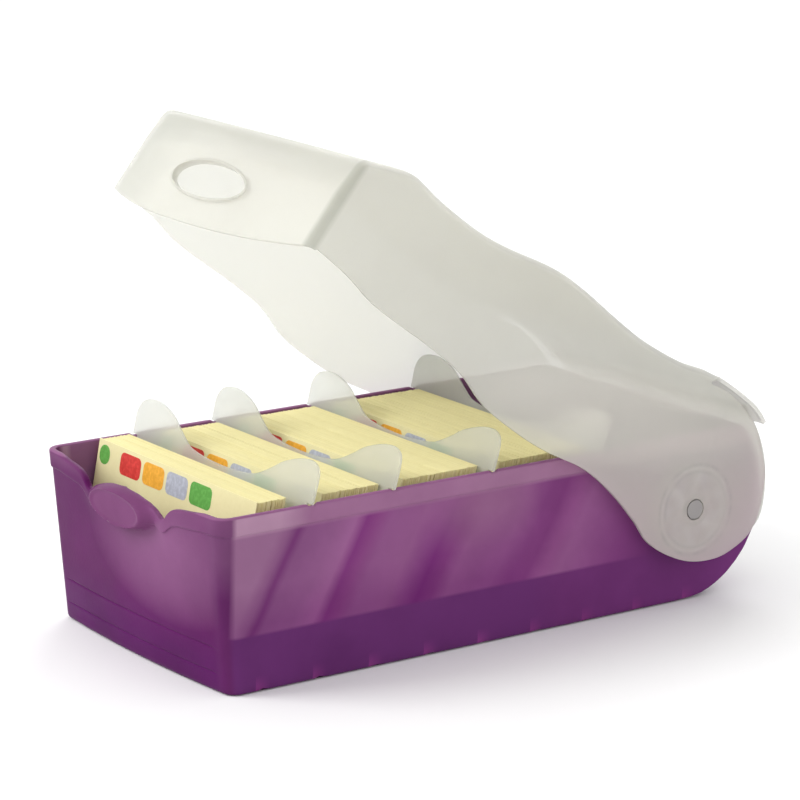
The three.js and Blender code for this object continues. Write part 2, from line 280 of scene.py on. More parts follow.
# Painted slanted shadows and light on the side wall, where the stacks stand behind it: y -
# SHADE_SLANT * z in millimetres of the imported frame, and the colour there. The ramp runs from
# SHADE_START over SHADE_SPAN.
SHADE_SLANT, SHADE_START, SHADE_SPAN = 0.53, -125, 200
SIDE_PAINTED_SHADE = [
    (-123, (0.300, 0.140, 0.262)), (-118, (0.245, 0.095, 0.218)), (-114.5, (0.165, 0.036, 0.155)),
    (-111, (0.225, 0.080, 0.205)), (-98, (0.240, 0.088, 0.215)), (-90, (0.280, 0.102, 0.245)),
    (-85, (0.180, 0.034, 0.166)), (-80.5, (0.208, 0.050, 0.184)), (-74, (0.232, 0.078, 0.208)),
    (-60, (0.246, 0.085, 0.216)), (-53, (0.204, 0.052, 0.188)), (-47, (0.156, 0.024, 0.151)),
    (-40.5, (0.186, 0.040, 0.170)), (-34, (0.246, 0.082, 0.218)), (-15, (0.238, 0.074, 0.214)),
    (-6, (0.198, 0.048, 0.182)), (1, (0.188, 0.042, 0.172)), (8, (0.250, 0.072, 0.220)),
    (15, (0.272, 0.092, 0.242)), (40, (0.212, 0.050, 0.198)), (56, (0.150, 0.030, 0.150)),
    (70, (0.132, 0.027, 0.134)),
]


def tray_side(tree, y, z):
    """The side wall: painted slanted shadows, a dark foot with a painted glow at the teeth, and
    the rim's hem.
    """
    # Painted shade and light: slanted shadow bands of the stacks behind the side wall.
    wisp = product(tree, maths(tree, "SUBTRACT", noise(tree, 30.0), 0.5), 0.004)
    run = maths(tree, "SUBTRACT", y, product(tree, z, SHADE_SLANT))
    run = maths(tree, "ADD", run, wisp)
    share = maths(tree, "ADD", run, -SHADE_START * MM)
    share = maths(tree, "DIVIDE", share, SHADE_SPAN * MM, True)
    stops = [((mm - SHADE_START) / SHADE_SPAN, colour) for mm, colour in SIDE_PAINTED_SHADE]
    side = ramp(tree, share, stops, False)
    # Painted shade: the side wall darker low down, towards the front.
    low = inverse(tree, mask(tree, z, 0.024, 0.014))
    dim = product(tree, low, inverse(tree, mask(tree, y, 0.004, 0.012)))
    dimmed = mix_colour(tree, 1.0, side, (0.82, 0.66, 0.84), "MULTIPLY")
    side = mix_colour(tree, dim, side, dimmed)
    # Painted light: a pale patch high up the middle of the side wall.
    patch = spot(tree, y, z, (-0.008, 0.048), (0.026, 0.060))
    pale = product(tree, mask(tree, z, 0.036, 0.014), patch, 0.6)
    side = mix_colour(tree, pale, side, (0.330, 0.150, 0.270))
    foot = mix_colour(tree, mask(tree, y, 0.014, 0.014), (0.118, 0.025, 0.131),
                      (0.146, 0.030, 0.152))
    side = mix_colour(tree, mask(tree, z, 0.0200, 0.0012), foot, side)
    # Painted light: a glow at each tooth of the floor, low on the side wall.
    pitch = maths(tree, "DIVIDE", maths(tree, "ADD", y, 0.1014), TOOTH * MM)
    tip = inverse(tree, product(tree, maths(tree, "FRACT", pitch), 4.2))
    glow = product(tree, tip, inverse(tree, mask(tree, z, 0.001, 0.005)))
    side = mix_colour(tree, glow, side, (0.230, 0.040, 0.200))
    # The rim's band, with painted light: palest near the front, a little paler again towards the
    # rear.
    hem = mix_colour(tree, mask(tree, y, -0.092, 0.012), (0.430, 0.250, 0.365),
                     (0.290, 0.130, 0.245))
    hem = mix_colour(tree, mask(tree, y, -0.022, 0.014), hem, (0.340, 0.165, 0.285))
    return mix_colour(tree, mask(tree, z, 0.0555, 0.0015), side, hem)


def tray_face(tree, x, z):
    """The front wall: a painted pool of light, painted shade at the right-hand corner, the rim
    painted paler and the thumb boss.
    """
    face = mix_colour(tree, mask(tree, z, 0.010, 0.016), (0.090, 0.008, 0.094),
                      (0.103, 0.009, 0.092))
    # Painted light: a pale pool of light on the front wall.
    pale = product(tree, spot(tree, x, z, (0.024, 0.047), (0.052, 0.029)), 0.88)
    face = mix_colour(tree, pale, face, (0.235, 0.088, 0.205))
    # Painted shade: the right-hand corner darker, darkest low down.
    edge = mix_colour(tree, mask(tree, z, 0.034, 0.014), (0.108, 0.018, 0.102),
                      (0.170, 0.058, 0.152))
    face = mix_colour(tree, mask(tree, x, 0.049, 0.006), face, edge)
    # Painted light: the front wall paler towards the rim.
    rim = product(tree, mask(tree, z, 0.058, 0.004), 0.5)
    face = mix_colour(tree, rim, face, (0.20, 0.07, 0.17))
    boss = spot(tree, x, z, (0.0, BOSS_Z * MM), (0.024, 0.010))
    boss = maths(tree, "MULTIPLY", boss, 2.0, True)
    return mix_colour(tree, boss, face, (0.165, 0.048, 0.140))


def tray_material():
    """Satin purple polypropylene: what stands behind the walls shows as painted slanted shadows;
    painted light on the rim.
    """
    material, tree, shader = nodes_of("tray_polypropylene")
    x, y, z = position(tree)
    reach = maths(tree, "ABSOLUTE", x)
    flank = product(tree, mask(tree, reach, 0.0555, 0.0012), mask(tree, y, -0.1118, 0.0022))
    colour = mix_colour(tree, flank, tray_face(tree, x, z), tray_side(tree, y, z))
    # Painted light: the upper inner faces of the side walls paler.
    painted_light_inside = product(tree, band(tree, reach, 0.0555, 0.0576, 0.0004),
                     mask(tree, z, 0.048, 0.006), mask(tree, y, -0.1085, 0.002))
    colour = mix_colour(tree, painted_light_inside, colour, (0.300, 0.130, 0.260))
    # Painted light: the rim's top paler.
    colour = mix_colour(tree, mask(tree, z, 0.0628, 0.0004), colour, (0.270, 0.105, 0.230))
    cloud = ramp(tree, noise(tree, 28.0, 4.0),
                 [(0.3, (0.88, 0.86, 0.88)), (0.7, (1.08, 1.10, 1.08))])
    colour = mix_colour(tree, 1.0, colour, cloud, "MULTIPLY")
    tree.links.new(colour, shader.inputs["Base Color"])
    shader.inputs["Transmission Weight"].default_value = 0.03
    shader.inputs["IOR"].default_value = 1.36
    shader.inputs["Specular IOR Level"].default_value = 0.08
    roughness(tree, shader, 0.30, 0.42, 60.0)
    bump(tree, shader, noise(tree, 900.0, 2.0), 0.00012, 0.25)
    return material


def frosted_material(name, pale, deep, transmission, rough, alpha):
    """Frosted natural polypropylene: each face lets part of the view behind it through."""
    material, tree, shader = nodes_of(name)
    colour = ramp(tree, noise(tree, 14.0, 4.0), [(0.3, deep), (0.7, pale)])
    tree.links.new(colour, shader.inputs["Base Color"])
    shader.inputs["Transmission Weight"].default_value = transmission
    shader.inputs["IOR"].default_value = 1.25
    shader.inputs["Alpha"].default_value = alpha
    roughness(tree, shader, rough - 0.05, rough + 0.06, 90.0)
    bump(tree, shader, noise(tree, 1400.0, 2.0), 0.00010, 0.3)
    return material


# Painted light and shade of the hub disc behind the lid's walls: where each ring starts and ends,
# in metres from the axis, how strong it is, and its colour.
DISC_SHADES = [
    (-0.0020, 0.0055, 0.50, (0.66, 0.655, 0.61)), (0.0055, 0.0138, 0.50, (0.92, 0.87, 0.86)),
    (0.0130, 0.0142, 0.45, (0.60, 0.575, 0.56)), (0.0142, 0.0154, 0.45, (0.95, 0.90, 0.89)),
    (0.0156, 0.0168, 0.55, (0.56, 0.54, 0.525)),
]


def lid_walls(tree, plain, x, y, z):
    """The side walls: warmer over the tray, painted light in a pale patch over the gap, the hub
    disc's rings.
    """
    walls = mask(tree, maths(tree, "ABSOLUTE", x), 0.0620, 0.0006)
    warm = product(tree, walls, inverse(tree, mask(tree, z, 0.040, 0.030)))
    plain = mix_colour(tree, warm, plain, (0.830, 0.750, 0.725))
    # Painted light: a pale patch on the side walls.
    slant = maths(tree, "ADD", z, product(tree, maths(tree, "SUBTRACT", y, 0.0386), 0.28))
    patch = spot(tree, y, slant, (0.046, 0.079), (0.066, 0.020))
    plain = mix_colour(tree, product(tree, walls, patch, 0.95), plain, (0.98, 0.95, 0.88))
    run = maths(tree, "SUBTRACT", y, (HUB_Y + SHIFT) * MM)
    lift = maths(tree, "SUBTRACT", z, HUB_Z * MM)
    reach = maths(tree, "SQRT", squares(tree, run, lift))
    mottle = maths(tree, "SUBTRACT", noise(tree, 190.0), 0.30)
    mottle = maths(tree, "MULTIPLY", mottle, 2.6, True)
    # Painted light and shade of the hub disc behind the walls, mottled.
    for start, end, share, shade in DISC_SHADES:
        ring = product(tree, band(tree, reach, start, end, 0.0011), walls, share, mottle)
        plain = mix_colour(tree, ring, plain, shade)
    return plain


def lid_material():
    """The lid's plastic: painted shade where it is thick, at the front corners, the roof's edge
    and the bends; painted light on the far wall.
    """
    material = frosted_material("lid_polypropylene", (0.81, 0.805, 0.74), (0.76, 0.75, 0.69),
                                0.45, 0.42, 0.66)
    tree = material.node_tree
    shader = tree.nodes["Principled BSDF"]
    plain = shader.inputs["Base Color"].links[0].from_socket
    x, y, z = position(tree)
    reach = maths(tree, "ABSOLUTE", x)
    colour = lid_walls(tree, plain, x, y, z)
    y = maths(tree, "SUBTRACT", y, (FOOT.x + SHIFT) * MM)
    z = maths(tree, "SUBTRACT", z, FOOT.y * MM)
    rise = maths(tree, "ADD", product(tree, y, RISE.x), product(tree, z, RISE.y))
    depth = maths(tree, "ADD", product(tree, y, OUT.x), product(tree, z, OUT.y))
    # Painted shade: the front wall darker at its corners and towards the roof's edge.
    near = inverse(tree, mask(tree, product(tree, depth, -1.0), 0.0016, 0.0022))
    side = mask(tree, reach, 0.0605, 0.0018)
    top = product(tree, mask(tree, rise, 0.020, 0.012), 0.45)
    share = product(tree, near, maths(tree, "MAXIMUM", side, top))
    colour = mix_colour(tree, share, colour, (0.50, 0.505, 0.445))
    # Painted shade on the left part of the front wall.
    left = product(tree, near, inverse(tree, mask(tree, x, -0.058, 0.034)), 0.55)
    colour = mix_colour(tree, left, colour, (0.60, 0.61, 0.55))
    # Painted shade along the rounded bends into the side walls.
    flat = mask(tree, reach, 0.0639, 0.0003)
    bend = maths(tree, "SUBTRACT", mask(tree, reach, 0.0618, 0.0012), flat, True)
    colour = mix_colour(tree, product(tree, bend, 0.55), colour, (0.52, 0.52, 0.46))
    # Painted light: the far side wall paler.
    far = inverse(tree, mask(tree, x, -0.0627, 0.0010))
    colour = mix_colour(tree, far, colour, (0.95, 0.955, 0.91))
    tree.links.new(colour, shader.inputs["Base Color"])
    return material


def card_material(name, pale, deep):
    """Tinted card stock: each sheet a little different, with a fine fibre grain."""
    material, tree, shader = nodes_of(name)
    grain = ramp(tree, noise(tree, 420.0, 5.0, 0.7), [(0.3, deep), (0.7, pale)])
    sheet = tree.nodes.new("ShaderNodeNewGeometry").outputs["Random Per Island"]
    tone = ramp(tree, sheet, [(0.0, (0.92, 0.91, 0.88)), (1.0, (1.0, 1.0, 1.0))])
    tree.links.new(mix_colour(tree, 1.0, grain, tone, "MULTIPLY"), shader.inputs["Base Color"])
    roughness(tree, shader, 0.72, 0.88, 300.0)
    shader.inputs["Specular IOR Level"].default_value = 0.25
    bump(tree, shader, noise(tree, 1800.0, 3.0), 0.00008, 0.35)
    return material


def ink_material(name, colour):
    material, tree, shader = nodes_of(name)
    worn = tuple(min(1.0, c * 1.25 + 0.02) for c in colour)
    tone = ramp(tree, noise(tree, 700.0, 3.0), [(0.35, colour), (0.75, worn)])
    tree.links.new(tone, shader.inputs["Base Color"])
    roughness(tree, shader, 0.5, 0.62, 300.0)
    bump(tree, shader, noise(tree, 1800.0, 3.0), 0.00005, 0.3)
    return material


TRAY_MAT = tray_material()
LID_MAT = lid_material()
PLATE_MAT = frosted_material("divider_sheet", (0.71, 0.72, 0.66), (0.65, 0.66, 0.60),
                             0.35, 0.34, 0.57)
HUB_MAT = frosted_material("hub_polypropylene", (0.43, 0.405, 0.40), (0.39, 0.37, 0.365),
                           0.20, 0.40, 0.9)
CARD_MAT = card_material("card_stock", (0.87, 0.80, 0.44), (0.84, 0.77, 0.41))
INDEX_MAT = card_material("index_card_stock", (0.89, 0.82, 0.47), (0.86, 0.79, 0.44))
INKS = [
    ink_material("mark_red", (0.62, 0.03, 0.02)),
    ink_material("mark_amber", (0.83, 0.38, 0.02)),
    ink_material("mark_grey", (0.42, 0.44, 0.50)),
    ink_material("mark_green", (0.10, 0.36, 0.05)),
]


# --------------------------------------------------------------------- tray

# Upper edge of the front wall: distance from the middle, and height.
FRONT_EDGE = [
    (0, 62.3), (9, 61.5), (17.5, 59.3), (21.5, 57.4), (24.0, 56.1), (26.3, 57.2), (28.5, 59.4),
    (31, 61.0), (34.5, 61.9), (41, 62.6), (48, RIM),
]
FRONT_CURVE = curve_through(FRONT_EDGE, 8)


def front_top(x):
    """Height of the front wall's upper edge."""
    run = abs(x)
    for (x0, z0), (x1, z1) in zip(FRONT_CURVE, FRONT_CURVE[1:]):
        if run <= x1:
            return z0 + (z1 - z0) * (run - x0) / max(1e-6, x1 - x0)
    return RIM


def boss_face(x, y, z, inner):
    """Where the thumb boss brings a point of the front wall."""
    shrink = 1.6 if inner else 0.0
    reach = math.hypot(x / (BOSS_A - shrink), (z - BOSS_Z) / (BOSS_B - shrink))
    lip = 0.0 if inner else 0.45 * math.exp(-(((reach - 0.80) / 0.045) ** 2))
    share = smooth((1 - reach) / 0.17)
    face = BOSS_Y + (WALL if inner else 0.0)
    return y + (face - y) * share - lip


def side_slot(y):
    """Depth of the slots that the dividers' shoulders sit in."""
    inside = any(-SLOT_BEFORE < y - rim < SLOT_AFTER for rim in PLATE_RIM.values())
    return SLOT_DEEP if inside else 0.0


def foot_nick(y):
    """How far the tray's lower edge is notched at each step of the toothed floor."""
    phase = (y - TOOTH_0) % TOOTH
    if y < TOOTH_0 - 3 or y > 90:
        return 0.0
    rise = 1.0
    if phase < NICK_LONG:
        rise = phase / NICK_LONG
    elif phase > TOOTH - NICK_SHORT:
        rise = (phase - TOOTH + NICK_SHORT) / -NICK_SHORT + 1
    return NICK * max(0.0, 1.0 - rise)


def tray_ring(z, inset, inner):
    """One loop round the tray at height z: front, right side, rear, left side."""
    half = TRAY_HALF + TRAY_FLARE * z / RIM - inset
    front = FRONT_Y - FRONT_LEAN * z / RIM + inset
    radius = REAR_R - inset
    rear = HUB_Y + math.sqrt(max(0.0, radius ** 2 - (z - HUB_Z) ** 2))
    corner = 5.0 - min(inset, 1.8)
    ring = []
    for i in range(11):
        a = math.radians(90 * i / 10)
        ring.append((-(half - corner) - corner * math.cos(a),
                     front + corner - corner * math.sin(a)))
    count = 150
    ring += [((half - corner) * (2 * i / count - 1), front) for i in range(1, count)]
    ring += [(-x, y) for x, y in reversed(ring[:11])]
    front_count = len(ring)
    ring = [(x, y - FRONT_BOW * (1 - (x / half) ** 2)) for x, y in ring]
    start, soft = ring[-1][1], 1.4
    side = 170
    ring += [(half, start + (rear - soft - start) * i / side) for i in range(1, side + 1)]
    ring += [(half - soft + soft * math.cos(a), rear - soft + soft * math.sin(a))
             for a in (math.radians(30), math.radians(60), math.radians(90))]
    ring += [((half - soft) * (1 - 2 * i / 16), rear) for i in range(1, 16)]
    ring += [(-(half - soft) - soft * math.cos(a), rear - soft + soft * math.sin(a))
             for a in (math.radians(90), math.radians(60), math.radians(30))]
    ring += [(-half, rear - soft + (start - rear + soft) * i / side) for i in range(0, side)]
    points = []
    for i, (x, y) in enumerate(ring):
        height = z
        if i < front_count:
            height += (front_top(x) - RIM) * smooth((z - 44) / (RIM - 44))
            y = boss_face(x, y, height, inner)
            if not inner:
                for line in FRONT_LINES:
                    y += 0.3 * math.exp(-(((z - line) / 0.28) ** 2)) * smooth((52 - abs(x)) / 5)
        else:
            height -= side_slot(y) * smooth((z - 61.5) / 0.8)
            if z < 1.3 and not inner:
                height = max(height, foot_nick(y) * (1 if abs(x) > 52 else 0))
        points.append(at(x, y, height))
    return points


def tray_levels():
    """Pairs of height and inset up the outside, over the rim and down the inside."""
    foot = [(0.0, 1.6), (0.12, 1.0), (0.35, 0.55), (0.8, 0.2), (1.6, 0.0), (2.8, 0.0), (4.4, 0.0)]
    steps = (-0.9, -0.45, -0.2, 0.0, 0.2, 0.45, 0.9)
    lines = [(line + step, 0.0) for line in FRONT_LINES for step in steps]
    wall = [(11.5, 0.0), (22, 0.0), (28, 0.0), (34, 0.0), (39, 0.0), (43, 0.0)]
    boss = [(45 + 0.65 * i, 0.0) for i in range(18)]
    band = [(56.75, -0.05), (56.95, -0.35), (57.2, -0.55)]
    upper = [(57.8 + 0.6 * i, -0.6) for i in range(8)]
    rim = [(62.75, -0.58), (63.2, -0.4), (63.42, -0.1), (RIM, 0.4), (RIM, 0.9), (63.4, 1.45),
           (63.1, 1.75)]
    outside = sorted(foot + lines + wall) + boss + band + upper + rim
    inside = [(62.4 - 0.8 * i, WALL) for i in range(19)] + [(44, WALL), (38, WALL), (30, WALL)]
    inside += [(22, WALL), (15, WALL), (9, WALL), (6, WALL)]
    inside += [(4.6, WALL + 0.15), (3.7, WALL + 0.6), (3.25, WALL + 1.5)]
    return outside, inside


def tray():
    outside, inside = tray_levels()
    bm = bmesh.new()
    rows = [[bm.verts.new(p) for p in tray_ring(z, inset, False)] for z, inset in outside]
    rows += [[bm.verts.new(p) for p in tray_ring(z, inset, True)] for z, inset in inside]
    grid_faces(bm, rows, closed=True)
    bm.faces.new(rows[0])
    bm.faces.new(list(reversed(rows[-1])))
    for k in range(TEETH):
        y = TOOTH_0 + TOOTH * k
        back = y - TOOTH + 0.6
        section = [(back, 3.0), (y, 3.0), (y, 3.85), (y - 0.5, 3.9), (back, 3.3)]
        ends = [[bm.verts.new(at(x, max(v, -91.0), w)) for v, w in section] for x in (-54.6, 54.6)]
        grid_faces(bm, ends, closed=True)
        bm.faces.new(list(reversed(ends[0])))
        bm.faces.new(ends[1])
    bmesh.ops.recalc_face_normals(bm, faces=bm.faces)
    obj = make_object("tray_shell", bm_to_mesh(bm, "tray_shell"), [TRAY_MAT], 40)
    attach(obj, "tray")
    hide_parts("base_tray")


# ---------------------------------------------------------------------- lid

# Side view of the lid as (y, z): the roof, the rounded rear and the wavy lower edge. SKIRT is the
# rear wall's section, as radius from the hub axis and angle in degrees.
ROOF = [
    (-43.0, 180.0), (-38.2, 178.4), (-30, 175.9), (-21.5, 172), (-11.2, 162.5), (3.9, 150.8),
    (17, 143.1), (36.9, 133.5), (50.4, 124.2), (65.3, 111.7), (78.3, 101.7), (94.9, 92),
    (106.9, 87.1), (119, 79.3), (129, 71.2), (133.7, 64.7),
]
REAR = [
    (107.5, 82.6), (114.8, 78.8), (121, 73.6), (125.3, 68.6), (129, 63.2), (131.4, 57),
    (133, 50.1),
]
LOWER = [
    (133.9, 44.2), (131.8, 32.4), (126.8, 23.3), (117.1, 17.9), (108.6, 16.3), (98.2, 17.4),
    (87.9, 21.6), (78.9, 28), (73.3, 36), (63, 48.1), (50.2, 59.3), (34.1, 67.9), (21.3, 76.3),
    (5.9, 88.9), (-4.2, 102), (-18.5, 114.1), (-28.8, 121.7), (-40.7, 131.1), (-50.4, 141.5),
    (-62.6, 152.3),
]
SKIRT = [(42.7, 41), (41.3, 28), (39.9, 12), (38.8, -5), (38.4, -22)]
HOLE_A, HOLE_B, HOLE_RISE = 22.5, 6.8, 9.6


def bulge(x):
    """Share of the front wall's bulge at x: 1 in the middle, 0 at the sides."""
    return 1 - (min(abs(x), LID_SPAN) / LID_SPAN) ** LID_POWER


def lid_move(x, y, z):
    """The front wall's bulge, and the lower hem at its middle."""
    along = Vector((y, z)) - FOOT
    rise, depth = along.dot(RISE), -along.dot(OUT)
    middle = bulge(x)
    near = min(1.0, max(0.0, 1 - depth / BULGE_DEEP))
    fall = BULGE_LEFT + (1 - BULGE_LEFT) * smooth(1 - (rise - BULGE_TOP) / BULGE_FADE)
    out = LID_BULGE * middle * near * fall
    drop = LID_DROP * middle * near * min(1.0, max(0.0, 1 - rise / HEM_HIGH))
    return at(x, y + out * OUT.x - drop * RISE.x, z + out * OUT.y - drop * RISE.y)


def normals(path):
    """Unit vectors pointing into the lid along a path from the front foot to the rear."""
    result = []
    for i in range(len(path)):
        a, b = path[max(0, i - 1)], path[min(len(path) - 1, i + 1)]
        step = (Vector(b) - Vector(a)).normalized()
        result.append(Vector((step.y, -step.x)))
    return result


def lid_path():
    front = [tuple(FOOT + RISE * t) for t in (0, 1, 2, 3, *range(4, 31, 2))]
    last, first = Vector(front[-1]), Vector((-41.6, 179.6))
    bend = [tuple(last * (1 - t) ** 2 + TOP * 2 * t * (1 - t) + first * t * t)
            for t in (0.2, 0.4, 0.6, 0.8)]
    roof = [p for p in curve_through(ROOF, 6) if p[0] > -41.2]
    joined = next(i for i, p in enumerate(roof) if p[0] > 106.9)
    return front + bend + [tuple(first)] + roof, len(front) + len(bend) + 1 + joined


def lid_skin():
    path, joined = lid_path()
    inward = normals(path)
    flat = [(LID_X - LID_FILLET) * (2 * i / 26 - 1) for i in range(27)]
    arc = [math.radians(a) for a in (15, 32, 50, 70, 90)]
    bm = bmesh.new()
    rows = []
    for i, ((y, z), n) in enumerate(zip(path, inward)):
        line = []
        for x in flat:
            line.append(lid_move(x, y, z))
        for side in (1, -1):
            bent = []
            for a in arc:
                deep = LID_FILLET * (1 - math.cos(a)) if i <= joined else 0.0
                x = side * (LID_X - LID_FILLET + LID_FILLET * math.sin(a))
                bent.append(lid_move(x, y + n.x * deep, z + n.y * deep))
            line = line + bent if side > 0 else list(reversed(bent)) + line
        rows.append([bm.verts.new(p) for p in line])
    grid_faces(bm, rows)
    edge = curve_through(REAR + LOWER, 5)
    for column, x in ((0, -LID_X), (-1, LID_X)):
        rim = [row[column] for row in rows[:joined + 1]]
        rest = [bm.verts.new(at(x, y, z)) for y, z in edge]
        bm.faces.new(rim + rest)
    bmesh.ops.recalc_face_normals(bm, faces=bm.faces)
    bm.faces.ensure_lookup_table()
    roof_face = bm.faces[(len(path) // 2) * (len(rows[0]) - 1) + 15]
    if roof_face.normal.z < 0:
        bmesh.ops.reverse_faces(bm, faces=bm.faces)
    return bm_to_mesh(bm, "lid_skin")


def lid_skirt():
    arc = curve_through(SKIRT, 5)
    path = [(129.4, 70.4)]
    for radius, angle in arc:
        a = math.radians(angle)
        path.append((HUB_Y + radius * math.cos(a), HUB_Z + radius * math.sin(a)))
    bm = bmesh.new()
    rows = []
    for i, (y, z) in enumerate(path):
        wide = 57.2 - 2.5 * smooth((i - len(path) + 6) / 6) ** 2
        rows.append([bm.verts.new(at(wide * (2 * k / 20 - 1), y, z)) for k in range(21)])
    grid_faces(bm, rows)
    for face in bm.faces:
        face.normal_update()
    if sum(face.normal.y for face in bm.faces) < 0:
        bmesh.ops.reverse_faces(bm, faces=bm.faces)
    return bm_to_mesh(bm, "lid_skirt")


def cutter(low, high, name):
    obj = bpy.data.objects.new(name, prism_mesh(low, high, name))
    bpy.context.scene.collection.objects.link(obj)
    return obj


def front_point(x, rise, out):
    y, z = FOOT + RISE * rise + OUT * out
    return at(x, y, z)


def hole_loop(grow, out):
    turn = [2 * math.pi * i / 64 for i in range(64)]
    return [front_point((HOLE_A + grow) * math.cos(a),
                        HOLE_RISE + (HOLE_B + grow) * math.sin(a), out)
            for a in turn]


def collar():
    """Moulded lip round the oval hole."""
    section = [(0.0, 0.25), (0.55, 0.35), (1.05, 0.15), (1.15, -0.6), (1.1, -2.2), (0.8, -2.6),
               (0.25, -2.65), (0.0, -2.4), (-0.02, -1.0)]
    bm = bmesh.new()
    rows = []
    for i in range(72):
        a = 2 * math.pi * i / 72
        row = []
        for grow, out in section:
            x = (HOLE_A + grow) * math.cos(a)
            rise = HOLE_RISE + (HOLE_B + grow) * math.sin(a)
            row.append(bm.verts.new(front_point(x, rise, LID_BULGE * bulge(x) + out)))
        rows.append(row)
    rows.append(rows[0])
    grid_faces(bm, rows)
    for upper, lower in zip(rows, rows[1:]):
        bm.faces.new((upper[-1], upper[0], lower[0], lower[-1]))
    bmesh.ops.recalc_face_normals(bm, faces=bm.faces)
    return bm_to_mesh(bm, "lid_collar")


def add_modifier(obj, kind, **settings):
    modifier = obj.modifiers.new(kind.lower(), kind)
    for key, value in settings.items():
        setattr(modifier, key, value)
    return modifier


def lid():
    skin = make_object("lid_frosted", lid_skin(), [LID_MAT])
    skirt = make_object("lid_skirt_tmp", lid_skirt(), [LID_MAT])
    for part in (skin, skirt):
        add_modifier(part, "SOLIDIFY", thickness=LID_WALL * MM, offset=-1, use_even_offset=True)
        apply_modifiers(part)
    cutters = [cutter(hole_loop(0.5, -16), hole_loop(0.5, 22), "cut_oval")]
    for side in (1, -1):
        turn = [2 * math.pi * i / 32 for i in range(32)]
        loops = [[at(x, HUB_Y + 4 * math.cos(a), HUB_Z + 4 * math.sin(a)) for a in turn]
                 for x in sorted((side * 60, side * 70))]
        cutters.append(cutter(*loops, f"cut_stud_{side}"))
    for tool in cutters:
        add_modifier(skin, "BOOLEAN", operation="DIFFERENCE", solver="EXACT", object=tool)
    apply_modifiers(skin)
    for tool in cutters:
        bpy.data.objects.remove(tool)
    ring = make_object("lid_collar_tmp", collar(), [LID_MAT])
    bm = bmesh.new()
    for part in (skin, skirt, ring):
        bm.from_mesh(part.data)
    for part in (skirt, ring):
        bpy.data.objects.remove(part)
    skin.data = bm_to_mesh(bm, "lid_frosted")
    skin.data.materials.append(LID_MAT)
    add_modifier(skin, "BEVEL", width=0.28 * MM, segments=2, limit_method="ANGLE",
                 angle_limit=math.radians(50), harden_normals=False)
    apply_modifiers(skin)
    for polygon in skin.data.polygons:
        polygon.use_smooth = True
    skin.data.set_sharp_from_angle(angle=math.radians(40))
    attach(skin, "lid")
    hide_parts("lid_shell")


# ----------------------------------------------------------------- dividers

# Upper outline of a divider, seen from the front.
EARS = [
    (59.2, 61.05), (59.4, 66), (59.4, 70), (58.6, 73.2), (56, 75.0), (52, 75.4), (45.8, 74.4),
    (37.5, 71.6), (31.5, 68.2), (25, 65), (20, 63.5), (10, 62.5), (0, 62.2), (-10, 62.6),
    (-20, 63.9), (-25, 66.2), (-31, 69.9), (-35, 72.3), (-40, 74.2), (-45, 75.3), (-50, 75.4),
    (-55, 74.4), (-57.9, 72.2), (-59.3, 69), (-59.3, 65), (-59.2, 61.05),
]


def divider(letter):
    lean = math.radians(PLATE_LEAN)
    foot_y = PLATE_RIM[letter] - (RIM - PLATE_PIVOT) * math.tan(lean)
    outline = curve_through(EARS, 5)
    foot = [(-56.1, 61.05), (-56.0, 56), (-54.6, 4), (-53.6, 0.4), (-52.6, 0.0), (-20, 0.0),
            (-19, 1.2), (19, 1.2), (20, 0.0), (52.6, 0.0), (53.6, 0.4), (54.6, 4), (56.0, 56),
            (56.1, 61.05)]
    place = Matrix.Translation(at(0, foot_y, PLATE_FOOT)) @ Matrix.Rotation(-lean, 4, "X")
    front, back = ([place @ Vector((x * MM, deep * MM, v * MM)) for x, v in outline + foot]
                   for deep in (0, PLATE_THICK))
    name = f"divider_plate_{letter}"
    obj = make_object(name, prism_mesh(front, back, name), [PLATE_MAT])
    add_modifier(obj, "BEVEL", width=0.24 * MM, segments=2, limit_method="ANGLE",
                 angle_limit=math.radians(50))
    apply_modifiers(obj)
    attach(obj, "tray")
    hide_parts(f"divider_{letter}")


# -------------------------------------------------------------------- cards

def card_sheet(bm, corner, width, thick, height, lean, rng, loose):
    """One card: a thin slab, slightly bowed, standing on its lower edge."""
    shift, skew = rng.uniform(-loose, loose), rng.uniform(-0.5, 0.5) * loose
    short = rng.uniform(0, 0.45) * loose
    bow = rng.uniform(-0.06, 0.10)
    lines = []
    for k in range(5):
        up = (height - short) * k / 4
        sag = bow * math.sin(math.pi * k / 4)
        y = up * math.sin(lean) + sag
        z = up * math.cos(lean)
        row = []
        for across in (0, 1):
            x = corner.x / MM + shift + skew * k / 4 + width * across
            for deep in (0, thick):
                place = Vector((x * MM, corner.y + (y + deep) * MM, corner.z + z * MM))
                row.append(bm.verts.new(place))
        lines.append([row[0], row[2], row[3], row[1]])
    grid_faces(bm, lines, closed=True)
    bm.faces.new(lines[0])
    bm.faces.new(list(reversed(lines[-1])))


def lean_of(node):
    return math.radians(FIRST_LEAN if "_1" in node else PLATE_LEAN)


def foot_of(node):
    """Front lower left corner, horizontal thickness and slant height of a card node."""
    lo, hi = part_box(node)
    lean = lean_of(node)
    thick = (hi.y - lo.y) / MM - CARD_HIGH * math.sin(lean)
    return lo.copy(), (hi.x - lo.x) / MM, thick, (hi.z - lo.z) / MM / math.cos(lean), lean


